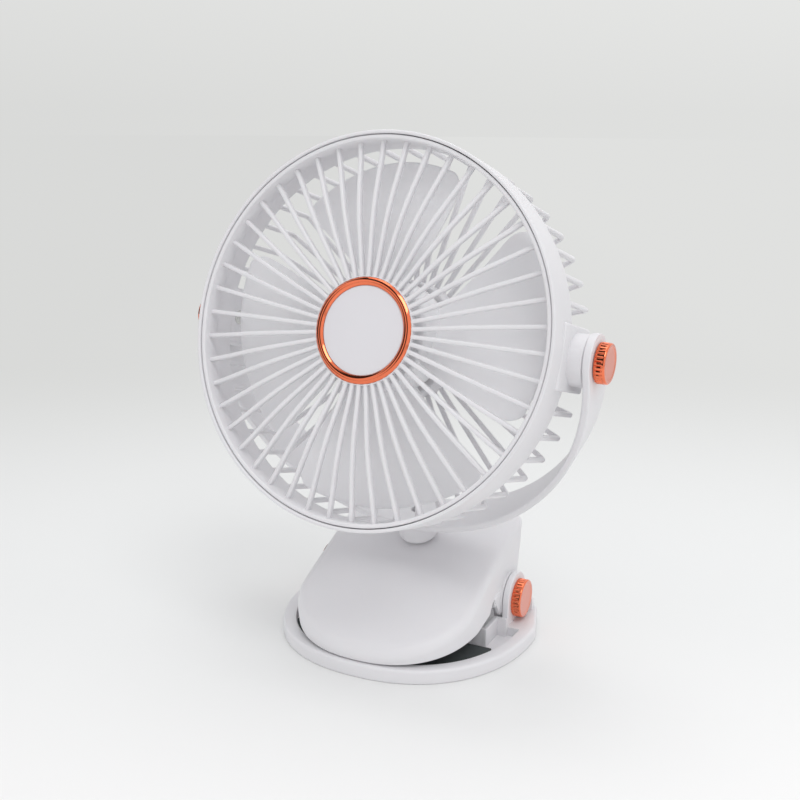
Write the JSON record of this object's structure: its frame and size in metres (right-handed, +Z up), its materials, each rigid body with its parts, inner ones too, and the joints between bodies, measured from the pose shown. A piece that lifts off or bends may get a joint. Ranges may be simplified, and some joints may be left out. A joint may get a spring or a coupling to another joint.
{
  "type": "clip-on battery fan",
  "caption": "Rechargeable clip-on fan: a caged round head tilts in a half-ring yoke that swivels on a spring clip, which also stands on a table.",
  "frame": {"origin": "on the table, on the flat underside, straight below the point where the yoke sits on the clip", "axes": "+Z up from the table, -Y towards the front of the fan, +X along the clip's hinge, to the right of someone who looks along +Y"},
  "size_m": [0.183, 0.1009, 0.216],
  "materials": {
    "white_plastic": "satin moulded, very fine surface",
    "cap_white": "smooth gloss",
    "blade_white": "smooth satin",
    "white_matte": "fine matte grain",
    "rose_gold": "electroplated rose gold on plastic",
    "dark_rubber": "soft, finely ribbed",
    "steel": "turned, bright",
    "spring_steel": "drawn wire",
    "cell_wrap": "heat-shrink film",
    "board_green": "solder mask",
    "black_plastic": "moulded nylon",
    "port_metal": "stamped shell",
    "light_lens": "clear frosted light pipe",
    "brass": "turned",
    "core_steel": "laminated, lacquered",
    "copper_wire": "enamelled winding",
    "lead_sheath": "flexible sheath",
    "can_steel": "drawn, zinc plated",
    "magnet_black": "bonded ferrite"
  },
  "bodies": {
    "base": {"lower_jaw": "white_plastic", "lower_pad": "dark_rubber", "base_grip": "dark_rubber", "hinge_pin": "steel", "hinge_knob_left": "rose_gold", "hinge_knob_right": "rose_gold", "torsion_spring": "spring_steel"},
    "clip": {"clip_shell": "white_plastic", "clip_cover": "white_matte", "cover_screws": "steel", "jaw_pad": "dark_rubber", "battery_cell": "cell_wrap", "control_board": "board_green", "key_switch": "black_plastic", "charging_port": "port_metal", "status_light": "light_lens", "swivel_washer": "black_plastic"},
    "button": {"power_button": "white_plastic"},
    "yoke": {"yoke": "white_plastic", "swivel_nut": "steel"},
    "head": {"front_grille": "white_plastic", "trim_ring": "rose_gold", "hub_cap": "cap_white", "rear_housing": "white_plastic", "tilt_pin_left": "steel", "tilt_pin_right": "steel", "tilt_knob_left": "rose_gold", "tilt_knob_right": "rose_gold", "tilt_washer_left": "black_plastic", "tilt_washer_right": "black_plastic", "bearing_tube": "brass", "front_bearing": "steel", "rear_bearing": "steel", "stator_core": "core_steel", "stator_windings": "copper_wire", "drive_board": "board_green", "motor_lead": "lead_sheath", "bay_cap": "white_matte", "bay_screws": "steel"},
    "rotor": {"impeller": "blade_white", "rotor_can": "can_steel", "magnet_ring": "magnet_black", "motor_shaft": "steel"}
  },
  "joints": [
    {"name": "jaw_open", "type": "hinge", "parent": "base", "child": "clip", "pos_m": [0, 0.0052, 0.0156], "axis": [-1, 0, 0], "range_deg": [0, 30], "stiffness_Nm_per_rad": 0.5, "springref_deg": -40.11},
    {"name": "power_press", "type": "slide", "parent": "clip", "child": "button", "axis": [0, -0.9239, 0.3827], "range_m": [0, 0.0005], "stiffness_N_per_m": 1500, "springref_m": -0.0005},
    {"name": "head_swivel", "type": "hinge", "parent": "clip", "child": "yoke", "pos_m": [0, 0, 0.0388], "axis": [0, -0.2974, 0.9548], "range_deg": [-180, 180]},
    {"name": "head_tilt", "type": "hinge", "parent": "yoke", "child": "head", "pos_m": [0, -0.02989, 0.13475], "axis": [-0.999, 0.0416, 0.013], "range_deg": [-180, 180]},
    {"name": "fan_spin", "type": "hinge", "parent": "head", "child": "rotor", "pos_m": [0, -0.02989, 0.13475], "axis": [-0.0367, -0.9629, 0.2675], "continuous": true}
  ]
}
